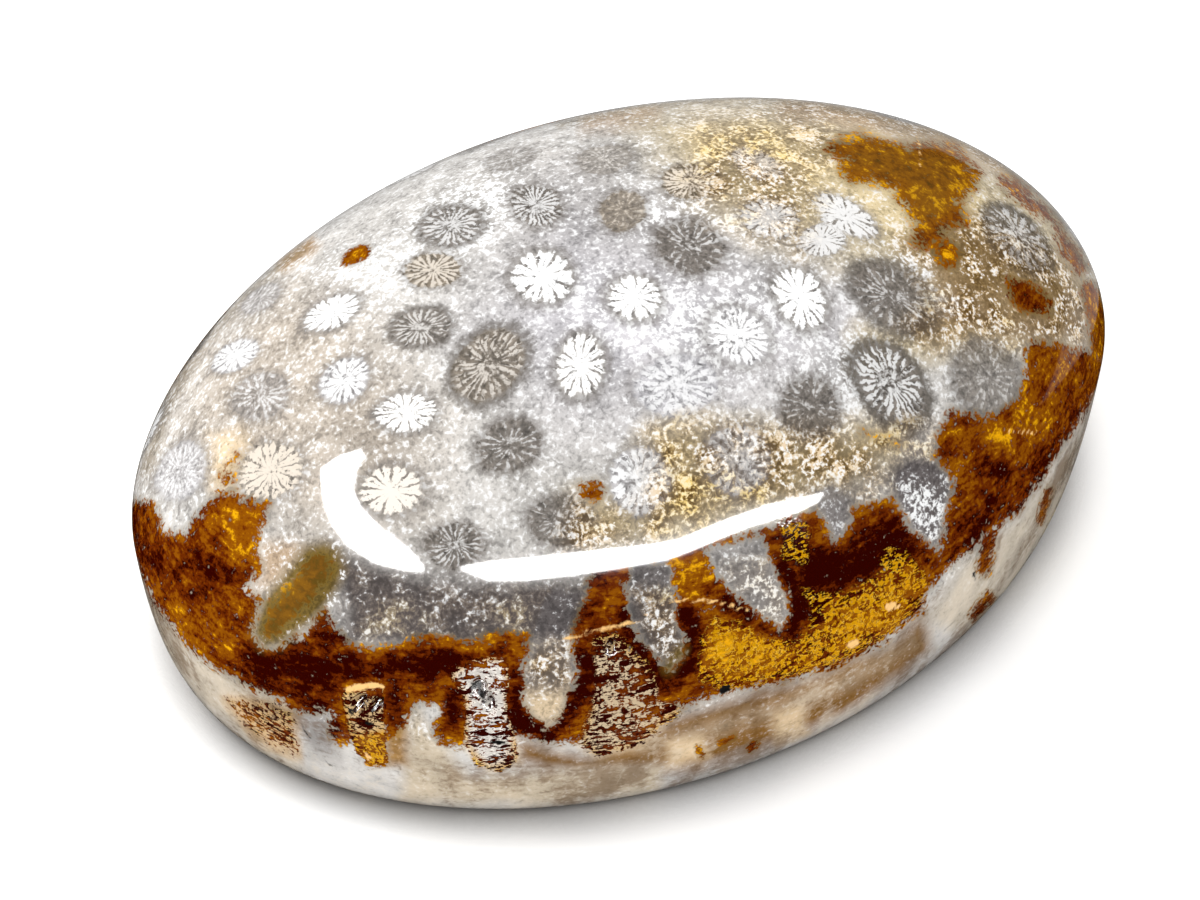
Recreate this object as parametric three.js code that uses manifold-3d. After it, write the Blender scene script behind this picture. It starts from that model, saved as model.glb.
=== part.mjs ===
// A palm stone cut from silicified star coral: an oval dome above a crisp girdle, a rounded lower side
// and a flat base to rest on. Millimetres, +Z up, the base on z = 0 and the long axis along X.
import * as THREE from "three";
import { mergeVertices } from "three/addons/utils/BufferGeometryUtils.js";
import Module from "manifold-3d";

// Driving dimensions
const stoneLength = 60;
const stoneWidth = 42.5;
const girdleHeight = 8.4; // mean height of the ridge above the base
const domeHeight = 14.8; // from the mean girdle up to the crown

// Oval outline: near an ellipse, a little skewed and three-lobed from grinding by hand
const ovalPower = 1.98;
const ovalSkew = 0.0105;
const ovalLobeCos = 0.005;
const ovalLobeSin = 0.0035;

// How far the girdle ridge rises and falls on its way round
const girdleTiltAlong = 0.52;
const girdleTiltAcross = -0.34;
const girdleSaddleCos = 0.38;
const girdleSaddleSin = -0.99;

// Profile from the base to the crown
const domeCrown = 2.43; // higher is flatter on top
const domeShoulder = 1.405; // higher is steeper at the girdle
const footShare = 0.93; // the base's outline as a share of the girdle's
const sideBow = 2.27; // higher is fuller below the girdle

// Open vugs in the hollow corallites along the front, each a small upright pit in the dome
const vugTall = 1.4; // height of a pit over its width
const vugs = [
  { share: 0.956, angle: -129.7, radius: 0.45 },
  { share: 0.969, angle: -128.4, radius: 0.35 },
  { share: 0.982, angle: -142.9, radius: 0.4 },
  { share: 0.98, angle: -140.8, radius: 0.3 },
  { share: 0.924, angle: -115.6, radius: 0.3 },
];

// Facets
const aroundSteps = 80;
const domeSteps = 18;
const sideSteps = 7;
const pitSteps = 12;

const wasm = await Module();
wasm.setup();

// Point of the girdle's outline at an angle round the stone.
function ovalPoint(angle) {
  const c = Math.cos(angle);
  const s = Math.sin(angle);
  const round = (Math.abs(c) ** ovalPower + Math.abs(s) ** ovalPower) ** (-1 / ovalPower);
  const lobes = ovalLobeCos * Math.cos(3 * angle) + ovalLobeSin * Math.sin(3 * angle);
  const reach = round * (1 + lobes + ovalSkew * Math.sin(2 * angle));
  return new THREE.Vector2((stoneLength / 2) * c * reach, (stoneWidth / 2) * s * reach);
}

// Height of the ridge at an angle round the stone, above or below its mean.
function girdleWave(angle) {
  const tilt = girdleTiltAlong * Math.cos(angle) + girdleTiltAcross * Math.sin(angle);
  const saddle = girdleSaddleCos * Math.cos(2 * angle) + girdleSaddleSin * Math.sin(2 * angle);
  return tilt + saddle;
}

// Share of the dome's height that is left at a share of the way out to the girdle.
function domeLevel(share) {
  return Math.max(0, 1 - share ** domeCrown) ** (1 / domeShoulder);
}

// Point of the stone's surface: level runs from -1 on the base to 0 at the girdle and 1 at the crown.
function surfacePoint(share, angle, level) {
  const oval = ovalPoint(angle).multiplyScalar(share);
  const wave = girdleWave(angle);
  const side = (girdleHeight + wave) * (1 + level);
  const dome = girdleHeight + wave * share ** 2 + domeHeight * level;
  return new THREE.Vector3(oval.x, oval.y, level <= 0 ? side : dome);
}

// Half section of a stone of unit radius, from the middle of the base round to the crown.
function halfSection() {
  const points = [new THREE.Vector2(0, -1)];
  for (let i = 0; i < sideSteps; i++) {
    const rise = (i / sideSteps) ** 2;
    const bulge = (1 - (1 - rise) ** sideBow) ** (1 / sideBow);
    points.push(new THREE.Vector2(footShare + (1 - footShare) * bulge, rise - 1));
  }
  for (let i = 0; i <= domeSteps; i++) {
    const share = i < domeSteps ? Math.cos((i / domeSteps) * (Math.PI / 2)) : 0;
    points.push(new THREE.Vector2(share, domeLevel(share)));
  }
  return points;
}

// The section turned round and drawn out to the oval.
function stoneBlank() {
  const blank = new THREE.LatheGeometry(halfSection(), aroundSteps);
  blank.rotateX(Math.PI / 2);
  const place = blank.attributes.position;
  for (let i = 0; i < place.count; i++) {
    const share = Math.hypot(place.getX(i), place.getY(i));
    const angle = Math.atan2(place.getY(i), place.getX(i));
    const point = surfacePoint(share, angle, place.getZ(i));
    place.setXYZ(i, point.x, point.y, point.z);
  }
  return blank;
}

// An upright pit, centred on the surface where it opens.
function vugPit({ share, angle, radius }) {
  const pit = new THREE.SphereGeometry(radius, pitSteps, pitSteps / 2);
  pit.rotateX(Math.PI / 2);
  pit.scale(1, 1, vugTall);
  const mouth = surfacePoint(share, THREE.MathUtils.degToRad(angle), domeLevel(share));
  return pit.translate(mouth.x, mouth.y, mouth.z);
}

function toSolid(geometry) {
  const bare = geometry.clone();
  bare.deleteAttribute("normal");
  bare.deleteAttribute("uv");
  const merged = mergeVertices(bare, 1e-4);
  return new wasm.Manifold(
    new wasm.Mesh({
      numProp: 3,
      vertProperties: merged.attributes.position.array,
      triVerts: new Uint32Array(merged.index.array),
    }),
  );
}

function toGeometry(solid) {
  const mesh = solid.getMesh();
  const geometry = new THREE.BufferGeometry();
  geometry.setAttribute("position", new THREE.BufferAttribute(mesh.vertProperties, 3));
  geometry.setIndex(new THREE.BufferAttribute(mesh.triVerts, 1));
  return geometry;
}

// The stone with its vugs opened, set over the origin by the middle of its box.
function coralStone() {
  let solid = toSolid(stoneBlank());
  for (const vug of vugs) solid = solid.subtract(toSolid(vugPit(vug)));
  const geometry = toGeometry(solid);
  geometry.computeBoundingBox();
  const middle = geometry.boundingBox.getCenter(new THREE.Vector3());
  geometry.translate(-middle.x, -middle.y, 0);
  geometry.computeVertexNormals();
  const polished = new THREE.MeshStandardMaterial({ color: 0xb9aca2, roughness: 0.16, metalness: 0 });
  const stone = new THREE.Mesh(geometry, polished);
  stone.name = "coral_stone";
  return stone;
}

const part = new THREE.Group();
part.add(coralStone());
export default part;
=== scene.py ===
# Palm stone of silicified star coral, ground to an oval dome with a flat base and polished all over.
import math

import bpy
import numpy as np
from mathutils import Matrix, Vector, noise
from mathutils.bvhtree import BVHTree


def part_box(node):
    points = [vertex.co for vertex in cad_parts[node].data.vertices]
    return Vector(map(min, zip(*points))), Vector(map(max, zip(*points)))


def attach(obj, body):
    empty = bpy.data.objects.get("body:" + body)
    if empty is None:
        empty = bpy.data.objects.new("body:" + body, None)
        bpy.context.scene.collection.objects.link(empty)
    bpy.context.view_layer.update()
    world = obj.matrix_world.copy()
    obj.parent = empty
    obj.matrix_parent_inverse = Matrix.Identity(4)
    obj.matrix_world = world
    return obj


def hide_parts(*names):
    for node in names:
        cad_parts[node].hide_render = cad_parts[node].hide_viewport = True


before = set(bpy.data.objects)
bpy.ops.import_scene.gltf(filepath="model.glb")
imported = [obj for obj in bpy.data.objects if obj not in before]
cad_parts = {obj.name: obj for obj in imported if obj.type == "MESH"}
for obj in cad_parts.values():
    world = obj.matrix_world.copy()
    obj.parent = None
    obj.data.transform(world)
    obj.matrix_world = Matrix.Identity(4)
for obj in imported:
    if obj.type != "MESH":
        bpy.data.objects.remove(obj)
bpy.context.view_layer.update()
mm = 0.001

# Camera

photoCamera = {
    "imageSize": (1200, 900),  # pixels
    "azimuth": -29.8,
    "elevation": 44.0,
    "distance": 0.126,
    "aim": (-0.00332, -0.00120, 0.00722),
    "lens": 66.0,
    "sensor": 36.0,
}


def cameraAxes():
    turn = math.radians(photoCamera["azimuth"])
    rise = math.radians(photoCamera["elevation"])
    back = Vector((math.sin(turn) * math.cos(rise), -math.cos(turn) * math.cos(rise), math.sin(rise)))
    right = Vector((math.cos(turn), math.sin(turn), 0))
    return right, back.cross(right), back


def makeCamera():
    right, up, back = cameraAxes()
    data = bpy.data.cameras.new("photoCamera")
    data.sensor_fit = "HORIZONTAL"
    data.sensor_width = photoCamera["sensor"]
    data.lens = photoCamera["lens"]
    data.clip_start = 0.005
    camera = bpy.data.objects.new("photoCamera", data)
    turned = Matrix((right, up, back)).transposed().to_4x4()
    camera.matrix_world = Matrix.Translation(eyePoint()) @ turned
    bpy.context.collection.objects.link(camera)
    bpy.context.scene.camera = camera


def eyePoint():
    return Vector(photoCamera["aim"]) + cameraAxes()[2] * photoCamera["distance"]


def focalPixels():
    return photoCamera["lens"] / photoCamera["sensor"] * photoCamera["imageSize"][0]


def pixelsOf(points):  # where points in millimetres fall in the photograph
    right, up, back = (np.array(axis) for axis in cameraAxes())
    away = points - np.array(eyePoint()) / mm
    depth = -(away @ back)
    wide, tall = photoCamera["imageSize"]
    across = wide / 2 + focalPixels() * (away @ right) / depth
    down = tall / 2 - focalPixels() * (away @ up) / depth
    return across, down


def rayThrough(x, y):  # direction from the eye through a pixel
    right, up, back = cameraAxes()
    wide, tall = photoCamera["imageSize"]
    across = (x - wide / 2) / focalPixels()
    down = (y - tall / 2) / focalPixels()
    return (right * across - up * down - back).normalized()


makeCamera()
print("camera set")

# Shape of the stone, in millimetres: the same oval, ridge and dome as the solid

stone = {
    "length": 60.0,
    "width": 42.5,
    "girdleHeight": 8.4,
    "domeHeight": 14.8,
    "ovalPower": 1.98,
    "ovalSkew": 0.0105,
    "ovalLobes": (0.005, 0.0035),
    "girdleTilt": (0.52, -0.34),
    "girdleSaddle": (0.38, -0.99),
    "domeCrown": 2.43,
    "domeShoulder": 1.405,
    "footShare": 0.93,
    "sideBow": 2.27,
    "vugs": [(0.956, -129.7, 0.45), (0.969, -128.4, 0.35), (0.982, -142.9, 0.4), (0.98, -140.8, 0.3),
             (0.924, -115.6, 0.3)],  # share of the way out, angle in degrees, radius
    "vugDepth": 0.7,
    "vugFall": 4.0,  # how steeply the pits go down as they go in
    "baseInset": 0.992,  # the flat base as a share of the foot
    "sharpAngle": 60,  # degrees between faces, above which an edge stays crisp
    "profileSamples": 4000,
    "domeSteps": 232,  # an even number, four times it goes round the girdle
    "sideRings": 26,
    "columnLean": (-0.018, -0.138),  # the corallites' drift for each millimetre of height
}


def ovalPoint(angle):
    c, s = np.cos(angle), np.sin(angle)
    power = stone["ovalPower"]
    reach = (np.abs(c) ** power + np.abs(s) ** power) ** (-1 / power)
    lobeCos, lobeSin = stone["ovalLobes"]
    reach = reach * (1 + lobeCos * np.cos(3 * angle) + lobeSin * np.sin(3 * angle)
                     + stone["ovalSkew"] * np.sin(2 * angle))
    return np.stack([stone["length"] / 2 * c * reach, stone["width"] / 2 * s * reach], axis=-1)


def girdleWave(angle):
    tiltAlong, tiltAcross = stone["girdleTilt"]
    saddleCos, saddleSin = stone["girdleSaddle"]
    return (tiltAlong * np.cos(angle) + tiltAcross * np.sin(angle)
            + saddleCos * np.cos(2 * angle) + saddleSin * np.sin(2 * angle))


def domeLevel(share):
    return np.maximum(0, 1 - share ** stone["domeCrown"]) ** (1 / stone["domeShoulder"])


def sideShare(rise):
    bulge = (1 - (1 - rise) ** stone["sideBow"]) ** (1 / stone["sideBow"])
    return stone["footShare"] + (1 - stone["footShare"]) * bulge


def domePoint(share, angle):
    height = stone["girdleHeight"] + girdleWave(angle) * share ** 2 + stone["domeHeight"] * domeLevel(share)
    return np.concatenate([ovalPoint(angle) * share[..., None], height[..., None]], axis=-1)


def sidePoint(rise, angle):
    height = (stone["girdleHeight"] + girdleWave(angle)) * rise
    return np.concatenate([ovalPoint(angle) * sideShare(rise)[..., None], height[..., None]], axis=-1)


def evenly(across, along, count):  # values of along that part a profile into equal lengths
    steps = np.hypot(np.diff(across), np.diff(along[1]))
    length = np.concatenate([[0], np.cumsum(steps)])
    return np.interp(np.linspace(0, length[-1], count), length, along[0])


def discGrid(steps):  # a square grid bent into a disc: share of the way out, and angle
    line = np.linspace(-1, 1, steps + 1)
    a, b = np.meshgrid(line, line)
    wide = np.abs(a) >= np.abs(b)
    reach = np.where(wide, a, b)
    safe = np.where(reach == 0, 1, reach)
    quarter = np.pi / 4
    angle = np.where(wide, quarter * b / safe, 2 * quarter - quarter * a / safe)
    return np.abs(reach), angle + np.pi * (reach < 0)


def gridFaces(steps, start, flip):
    index = start + np.arange((steps + 1) ** 2).reshape(steps + 1, steps + 1)
    corners = [index[:-1, :-1], index[:-1, 1:], index[1:, 1:], index[1:, :-1]]
    if flip:
        corners.reverse()
    return np.stack([c.ravel() for c in corners], axis=1), index


def borderLoop(index):  # the square's edge, once round and counter-clockwise from above
    return np.concatenate([index[0, :-1], index[:-1, -1], index[-1, :0:-1], index[:0:-1, 0]])


def meanRadius():
    return (stone["length"] + stone["width"]) / 4


def buildStone():
    steps = stone["domeSteps"]
    fine = 1 - (1 - np.linspace(0, 1, stone["profileSamples"])) ** 2
    domeProfile = evenly(meanRadius() * fine, (fine, stone["domeHeight"] * domeLevel(fine)), steps // 2 + 1)
    share, angle = discGrid(steps)
    share = np.interp(share, np.linspace(0, 1, steps // 2 + 1), domeProfile)
    dome = domePoint(share, angle).reshape(-1, 3)
    domeFaces, domeIndex = gridFaces(steps, 0, False)
    rim = borderLoop(domeIndex)
    rimAngle = angle.ravel()[rim]

    drop = np.linspace(1, 0, stone["profileSamples"])
    sideProfile = evenly(meanRadius() * sideShare(drop), (drop, stone["girdleHeight"] * drop),
                         stone["sideRings"] + 1)
    points = [dome]
    quads = [domeFaces]
    above = rim
    count = len(dome)
    for rise in sideProfile[1:]:
        points.append(sidePoint(np.full(len(rim), rise), rimAngle))
        below = count + np.arange(len(rim))
        quads.append(np.stack([above, below, np.roll(below, -1), np.roll(above, -1)], axis=1))
        above = below
        count += len(rim)

    # The base is a coarser disc, set inside the foot and joined to every second point of it
    baseSteps = steps // 2
    baseShare, baseAngle = discGrid(baseSteps)
    inset = stone["baseInset"] * stone["footShare"]
    flat = ovalPoint(baseAngle) * (inset * baseShare)[..., None]
    points.append(np.concatenate([flat, np.zeros(flat.shape[:2] + (1,))], axis=-1).reshape(-1, 3))
    baseFaces, baseIndex = gridFaces(baseSteps, count, True)
    quads.append(baseFaces)
    inner = borderLoop(baseIndex)
    nextInner = np.roll(inner, -1)
    joins = np.stack([above[0::2], inner, nextInner, np.roll(above, -2)[0::2], above[1::2]], axis=1)

    points = np.concatenate(points)
    middle = (points.min(axis=0) + points.max(axis=0)) / 2
    points[:, :2] -= middle[:2]
    parts = {"dome": len(dome), "side": count, "all": len(points), "rim": len(rim)}
    return points, quads, joins, parts, middle


def facesOf(quads, joins):
    return [tuple(face) for block in quads for face in block.tolist()] + [tuple(f) for f in joins.tolist()]


points, quads, joins, parts, middle = buildStone()
faces = facesOf(quads, joins)
low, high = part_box("coral_stone")
size = points.max(axis=0) - points.min(axis=0)
points *= np.array(high - low) / mm / size  # meets the solid's own box


def openVugs(points):  # small upright pits in the hollow corallites along the front
    for share, angle, radius in stone["vugs"]:
        centre = domePoint(np.array(share), np.radians(angle)) - np.array([middle[0], middle[1], 0])
        near = np.linalg.norm(points - centre, axis=1) / radius
        inward = np.array([-centre[0], -centre[1], -stone["vugFall"]])
        inward /= np.linalg.norm(inward)
        hollow = np.clip(1 - near ** 2, 0, 1) ** 0.5
        points += inward * (hollow * stone["vugDepth"])[:, None]


openVugs(points)


def makeMesh():
    mesh = bpy.data.meshes.new("coral_stone_polished")
    mesh.from_pydata((points * mm).tolist(), [], faces)
    mesh.shade_smooth()
    mesh.set_sharp_from_angle(angle=math.radians(stone["sharpAngle"]))
    return mesh


def gridSpots(steps, flip):  # the corners of each face of a disc's grid, from -1 to 1
    line = np.linspace(-1, 1, steps + 1)
    spots = np.stack(np.meshgrid(line, line), axis=-1)
    corners = [spots[:-1, :-1], spots[:-1, 1:], spots[1:, 1:], spots[1:, :-1]]
    if flip:
        corners.reverse()
    return np.stack([c.reshape(-1, 2) for c in corners], axis=1).reshape(-1, 2)


uvLayout = {
    "domeMiddle": 0.35,
    "domeHalf": 0.345,
    "stripStart": 0.712,
    "stripStep": 0.072,
    "stripHeight": 0.066,
    "stripLeft": 0.005,
    "stripLength": 0.99,
    "baseMiddle": (0.855, 0.35),
    "baseHalf": (0.13, 0.33),
    "baseOuter": 1.03,
}


def layOut(mesh):  # one island for the dome, four strips for the side and one island for the base
    steps, rings = stone["domeSteps"], stone["sideRings"]
    domeSpots = uvLayout["domeMiddle"] + uvLayout["domeHalf"] * gridSpots(steps, False)
    around = np.arange(4 * steps)
    strip, along = around // steps, around % steps
    sideSpots = []
    for ring in range(rings):
        top = uvLayout["stripStart"] + uvLayout["stripStep"] * strip + uvLayout["stripHeight"] * ring / rings
        low = top + uvLayout["stripHeight"] / rings
        left = uvLayout["stripLeft"] + uvLayout["stripLength"] * along / steps
        right = left + uvLayout["stripLength"] / steps
        face = [(left, top), (left, low), (right, low), (right, top)]
        sideSpots.append(np.stack([np.stack(corner, axis=-1) for corner in face], axis=1).reshape(-1, 2))
    line = np.linspace(-1, 1, steps // 2 + 1)
    grid = np.stack(np.meshgrid(line, line), axis=-1)
    index = np.arange(len(line) ** 2).reshape(len(line), len(line))
    here = grid.reshape(-1, 2)[borderLoop(index)]
    after = np.roll(here, -1, axis=0)
    outer = uvLayout["baseOuter"]
    joinSpots = np.stack([here * outer, here, after, after * outer, (here + after) / 2 * outer], axis=1)
    baseSpots = np.concatenate([gridSpots(steps // 2, True), joinSpots.reshape(-1, 2)])
    baseSpots = np.array(uvLayout["baseMiddle"]) + baseSpots[:, ::-1] * np.array(uvLayout["baseHalf"])
    layer = mesh.uv_layers.new(name="OFBake")
    layer.data.foreach_set("uv", np.concatenate([domeSpots] + sideSpots + [baseSpots]).ravel())


mesh = makeMesh()
layOut(mesh)
normals = np.zeros(len(points) * 3, np.float32)
mesh.vertex_normals.foreach_get("vector", normals)
normals = normals.reshape(-1, 3).astype(float)
print("stone meshed:", len(points), "points,", len(faces), "faces")

# Where each point of the stone falls in the photograph, and how squarely it was seen

across, down = pixelsOf(points)
toEye = np.array(eyePoint()) / mm - points
toEye /= np.linalg.norm(toEye, axis=1)[:, None]


def smooth(low, high, value):
    t = np.clip((value - low) / (high - low), 0, 1)
    return t * t * (3 - 2 * t)


seen = smooth(0.0, 0.12, (normals * toEye).sum(axis=1))


def wander(size, shift):  # smooth noise from -1 to 1, with features of a size in millimetres
    moved = points / size + shift
    return np.array([noise.noise(p) for p in moved.tolist()])


warpAcross = 0.6 * wander(1.6, 11.3) + 0.5 * wander(0.6, 4.7)
warpDown = 0.6 * wander(1.6, 31.9) + 0.5 * wander(0.6, 77.1)
surface = BVHTree.FromPolygons(points.tolist(), faces)


def castPixel(x, y):  # the point of the stone behind a pixel, in millimetres, or None
    return surface.ray_cast(eyePoint() / mm, rayThrough(x, y))


# Corallites read from the photograph, in its pixels: centre, half axes and turn of the calice,
# then how white it is, how dark the ring round it is, how warm, and how clear its septa are
calices = [
    (542, 276, 30, 26, -5, 1.0, 0.5, 0.0, 1.0),
    (635, 297, 27, 22, -15, 1.0, 0.45, 0.0, 1.0),
    (580, 365, 32, 24, 80, 0.95, 0.5, 0.25, 1.0),
    (738, 336, 33, 26, -35, 0.85, 0.4, -0.4, 0.9),
    (738, 459, 33, 32, 90, 0.7, 0.6, -0.35, 0.9),
    (800, 296, 34, 23, -61, 1.0, 0.5, 0.0, 1.0),
    (892, 296, 42, 27, -34, 0.2, 0.85, 0.0, 0.5),
    (890, 382, 43, 28, -54, 0.55, 1.0, 0.1, 0.8),
    (1018, 236, 38, 19, -45, 0.6, 0.95, 0.0, 0.4),
    (987, 377, 33, 31, -60, 0.15, 0.7, 0.3, 0.3),
    (810, 407, 29, 28, -50, 0.2, 0.6, 0.0, 0.6),
    (406, 412, 31, 19, 5, 0.95, 0.4, 0.3, 1.0),
    (392, 490, 34, 23, 0, 0.9, 0.4, 0.5, 1.0),
    (345, 380, 27, 20, 35, 0.8, 0.3, -0.35, 0.7),
    (332, 312, 29, 15, 25, 1.0, 0.4, 0.0, 0.9),
    (489, 364, 41, 29, 45, 0.4, 0.8, 0.45, 0.5),
    (510, 445, 32, 24, 20, 0.2, 0.6, 0.0, 0.6),
    (433, 270, 28, 17, 5, 0.6, 0.3, 0.55, 0.5),
    (451, 225, 29, 19, 5, 0.55, 0.8, 0.1, 0.4),
    (536, 205, 25, 20, -10, 0.6, 0.4, 0.0, 0.5),
    (690, 246, 33, 25, -15, 0.25, 0.6, 0.15, 0.7),
    (770, 218, 28, 19, -10, 0.95, 0.3, 0.2, 0.8),
    (757, 163, 27, 13, -30, 0.9, 0.2, 0.5, 0.6),
    (691, 181, 28, 17, -3, 0.65, 0.3, 0.6, 0.7),
    (623, 210, 24, 19, 20, 0.1, 0.4, 0.6, 0.3),
    (604, 159, 27, 14, 5, 0.1, 0.2, 0.45, 0.05),
    (510, 158, 25, 9, 15, 0.1, 0.3, 0.2, 0.05),
    (421, 327, 30, 18, 10, 0.4, 0.8, 0.3, 0.4),
    (845, 215, 35, 16, -30, 0.95, 0.2, 0.2, 0.6),
    (822, 240, 30, 13, 20, 0.95, 0.1, 0.2, 0.5),
    (270, 470, 33, 27, 20, 0.9, 0.1, 0.6, 0.6),
    (180, 470, 28, 24, 60, 0.4, 0.3, -0.5, 0.2),
    (677, 385, 40, 30, 0, 0.65, 0.0, -0.6, 0.5),
    (640, 480, 30, 32, 0, 0.8, 0.3, -0.4, 0.8),
    (455, 545, 35, 17, 0, 0.35, 0.4, 0.0, 0.5),
    (560, 520, 35, 20, 0, 0.25, 0.4, 0.0, 0.4),
    (260, 395, 28, 22, 10, 0.35, 0.2, -0.2, 0.15),
    (235, 355, 25, 13, 20, 0.85, 0.1, -0.4, 0.5),
    (260, 298, 20, 10, 30, 0.3, 0.2, -0.3, 0.1),
]

hiddenCalices = {
    "seed": 5,
    "radius": 1.55,
    "gap": 3.9,
    "tries": 900,
    "seenBelow": 0.35,  # only where the photograph shows little
    "drawnOut": 1.25,  # the most that a calice is longer or shorter than its mean
}


def columnPlan(place):  # where an upright corallite through a point meets the base
    leanX, leanY = stone["columnLean"]
    return np.stack([place[..., 0] - leanX * place[..., 2], place[..., 1] - leanY * place[..., 2]], axis=-1)


def readCalice(mark):
    x, y, longHalf, shortHalf, turn = mark[:5]
    centre = castPixel(x, y)[0]
    c, s = math.cos(math.radians(turn)), -math.sin(math.radians(turn))
    axes = []
    for dx, dy in ((longHalf * c, longHalf * s), (-shortHalf * s, shortHalf * c)):
        ends = [castPixel(x + side * dx, y + side * dy)[0] for side in (-1, 1)]
        if None in ends:
            return columnPlan(np.array(centre)), np.eye(2) * hiddenCalices["radius"]
        plan = columnPlan(np.array(ends))
        axes.append((plan[1] - plan[0]) / 2)
    return columnPlan(np.array(centre)), roundedAxes(np.array(axes).T)


def roundedAxes(axes):  # keeps a calice from being drawn out more than corallites are
    turnIn, reach, turnOut = np.linalg.svd(axes)
    mean = math.sqrt(reach[0] * reach[1])
    reach = np.clip(reach, mean / hiddenCalices["drawnOut"], mean * hiddenCalices["drawnOut"])
    return turnIn @ np.diag(reach) @ turnOut


def placeCalices():
    placed = []
    for mark in calices:
        plan, axes = readCalice(mark)
        placed.append((plan, axes, mark[5:]))
    draw = np.random.default_rng(hiddenCalices["seed"])
    shown = len(placed)
    for _ in range(hiddenCalices["tries"]):
        share = np.array(math.sqrt(draw.uniform(0, 1.05)))
        angle = draw.uniform(0, 2 * math.pi)
        look = (draw.uniform(0.2, 1), draw.uniform(0.2, 0.7), draw.uniform(0, 0.5), draw.uniform(0.4, 1))
        radius = hiddenCalices["radius"] * draw.uniform(0.85, 1.15)
        place = domePoint(np.minimum(share, 1), angle) - np.array([middle[0], middle[1], 0])
        nearest = np.argmin(np.linalg.norm(points[: parts["dome"]] - place, axis=1))
        plan = columnPlan(place)
        clear = all(np.linalg.norm(plan - other[0]) > hiddenCalices["gap"] for other in placed)
        if clear and seen[nearest] < hiddenCalices["seenBelow"]:
            placed.append((plan, np.eye(2) * radius, look))
    print("corallites:", shown, "read and", len(placed) - shown, "filled in behind")
    return placed


def caliceFields():
    plan = columnPlan(points)
    best = np.full(len(points), 9.0)
    second = best.copy()
    local = np.zeros((len(points), 2))
    look = np.zeros((len(points), 4))
    kind = np.zeros(len(points))
    for number, (centre, axes, traits) in enumerate(placeCalices()):
        uv = (plan - centre) @ np.linalg.inv(axes).T
        away = np.hypot(uv[:, 0], uv[:, 1])
        nearer = away < best
        second = np.where(nearer, best, np.minimum(second, away))
        best = np.where(nearer, away, best)
        local[nearer] = uv[nearer]
        look[nearer] = traits
        kind[nearer] = number
    return best, second, local, look, kind


def alongSide(ax, ay, bx, by, x, y):  # how far along a straight side the nearest spot is, and how far off
    along = ((x - ax) * (bx - ax) + (y - ay) * (by - ay)) / ((bx - ax) ** 2 + (by - ay) ** 2)
    along = np.clip(along, 0, 1)
    return along, np.hypot(x - ax - along * (bx - ax), y - ay - along * (by - ay))


def outlineDepth(outline, x, y):  # how far inside a closed outline each point is, in pixels
    nearest = np.full(len(x), np.inf)
    inside = np.zeros(len(x), bool)
    for (ax, ay), (bx, by) in zip(outline, np.roll(outline, -1, axis=0)):
        nearest = np.minimum(nearest, alongSide(ax, ay, bx, by, x, y)[1])
        if ay != by:
            inside ^= ((ay > y) != (by > y)) & (x < ax + (bx - ax) * (y - ay) / (by - ay))
    return np.where(inside, nearest, -nearest)


def lineDepth(line, x, y):  # how far inside a line of changing width each point is, in pixels
    deepest = np.full(len(x), -np.inf)
    for (ax, ay, aHalf), (bx, by, bHalf) in zip(line[:-1], line[1:]):
        along, away = alongSide(ax, ay, bx, by, x, y)
        deepest = np.maximum(deepest, aHalf + along * (bHalf - aHalf) - away)
    return deepest


def area(field, soft, rough, amount, outline, wipes=()):
    return {"field": field, "soft": soft, "rough": rough, "amount": amount, "shape": outline,
            "wipes": wipes, "depthOf": outlineDepth, "reach": soft}


def stroke(field, soft, rough, amount, line, wipes=()):
    widest = max(half for _, _, half in line)
    return {"field": field, "soft": soft, "rough": rough, "amount": amount, "shape": line,
            "wipes": wipes, "depthOf": lineDepth, "reach": soft + widest}


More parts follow.
